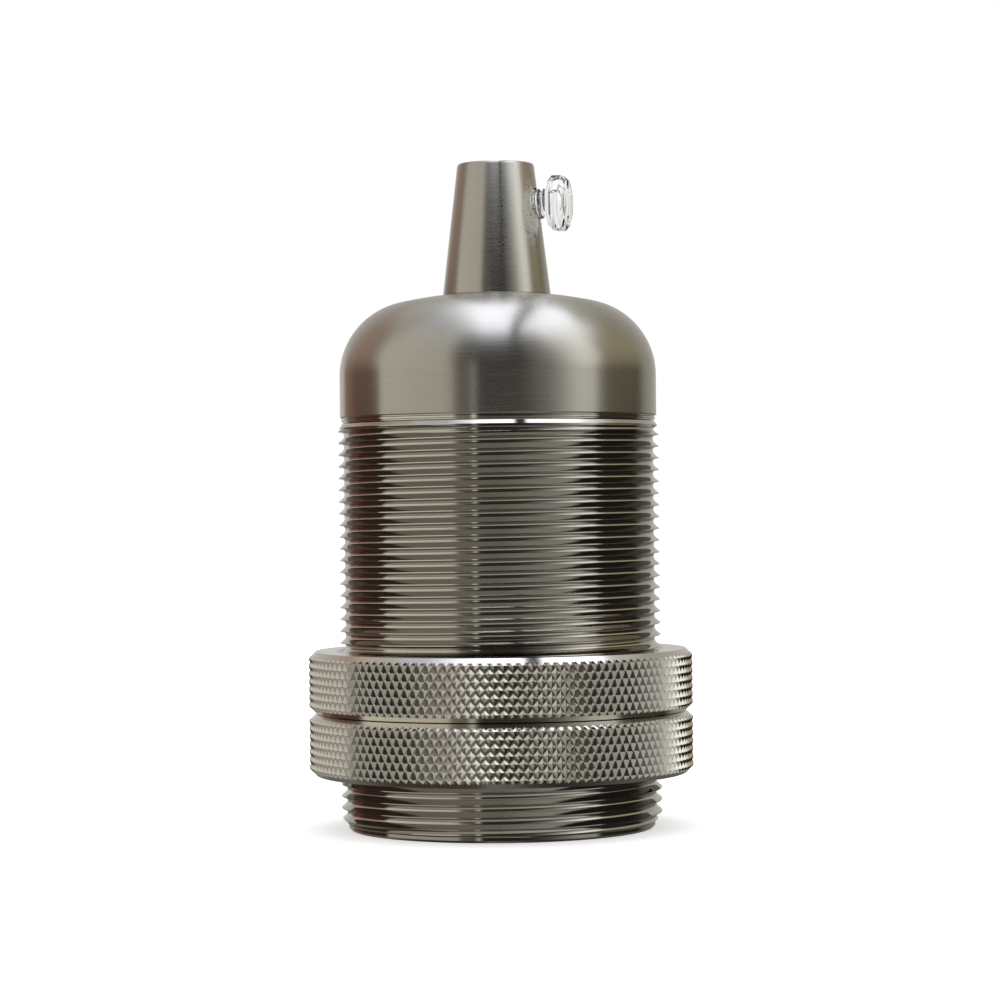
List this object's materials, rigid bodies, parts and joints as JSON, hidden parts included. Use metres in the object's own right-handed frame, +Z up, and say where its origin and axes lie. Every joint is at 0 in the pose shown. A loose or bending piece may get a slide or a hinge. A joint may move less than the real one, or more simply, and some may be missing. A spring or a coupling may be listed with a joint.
{
  "type": "pendant lamp holder",
  "caption": "Metal pendant lamp holder with a domed cap, a tapered cable grip with a side screw, an outer-threaded barrel with knurled shade rings and a porcelain screw socket.",
  "frame": {"origin": "centre of the open lower rim, on the surface that the holder stands on", "axes": "+Z up the axis of the holder towards the cable grip, +X towards the grip screw"},
  "size_m": [0.0492, 0.0492, 0.085],
  "materials": {
    "polished_nickel": "polished dark nickel plate on turned brass",
    "brushed_nickel": "satin nickel plate with fine brushed lines round the axis",
    "clear_plastic": "clear moulded plastic, glossy",
    "plated_steel": "zinc-plated steel",
    "plain_brass": "plain turned brass",
    "spring_bronze": "rolled phosphor bronze strip",
    "nickelled_brass": "thin rolled brass sheet, nickel plated",
    "white_porcelain": "white glazed electrical porcelain"
  },
  "bodies": {
    "skirt": {"threaded_skirt": "polished_nickel"},
    "cap": {"dome_cap": "brushed_nickel", "threaded_nipple": "plated_steel", "lock_washer": "plated_steel", "nipple_nut": "plated_steel", "mounting_bracket": "plated_steel", "core_screw_left": "plated_steel", "core_screw_right": "plated_steel", "earth_washer": "plain_brass", "earth_screw": "plain_brass", "porcelain_body": "white_porcelain", "screw_shell": "nickelled_brass", "shell_rivet": "plain_brass", "contact_rivet": "plain_brass", "contact_leaf": "spring_bronze", "terminal_neutral": "plain_brass", "terminal_live": "plain_brass"},
    "grip": {"cable_grip": "brushed_nickel"},
    "clamp_screw": {"grip_screw": "clear_plastic"},
    "upper_ring": {"shade_ring_upper": "polished_nickel"},
    "lower_ring": {"shade_ring_lower": "polished_nickel"},
    "button": {"contact_button": "plain_brass"},
    "neutral_screw": {"terminal_screw_neutral": "plated_steel"},
    "live_screw": {"terminal_screw_live": "plated_steel"}
  },
  "joints": [
    {"name": "cap_unscrew", "type": "slide", "parent": "skirt", "child": "cap", "axis": [0, 0, 1], "range_m": [0, 0.06]},
    {"name": "upper_ring_travel", "type": "slide", "parent": "skirt", "child": "upper_ring", "axis": [0, 0, 1], "range_m": [0, 0.029]},
    {"name": "lower_ring_travel", "type": "slide", "parent": "skirt", "child": "lower_ring", "axis": [0, 0, 1], "range_m": [-0.007, 0]},
    {"name": "grip_unscrew", "type": "slide", "parent": "cap", "child": "grip", "axis": [0, 0, 1], "range_m": [0, 0.01]},
    {"name": "clamp_screw_travel", "type": "slide", "parent": "grip", "child": "clamp_screw", "axis": [1, 0, 0], "range_m": [-0.0009, 0.0015]},
    {"name": "contact_press", "type": "slide", "parent": "cap", "child": "button", "axis": [0, 0, 1], "range_m": [0, 0.001], "stiffness_N_per_m": 2000, "deforming": ["contact_leaf"]},
    {"name": "neutral_screw_travel", "type": "slide", "parent": "cap", "child": "neutral_screw", "axis": [0, 0, 1], "range_m": [-0.0013, 0.001]},
    {"name": "live_screw_travel", "type": "slide", "parent": "cap", "child": "live_screw", "axis": [0, 0, 1], "range_m": [-0.0013, 0.001]}
  ]
}
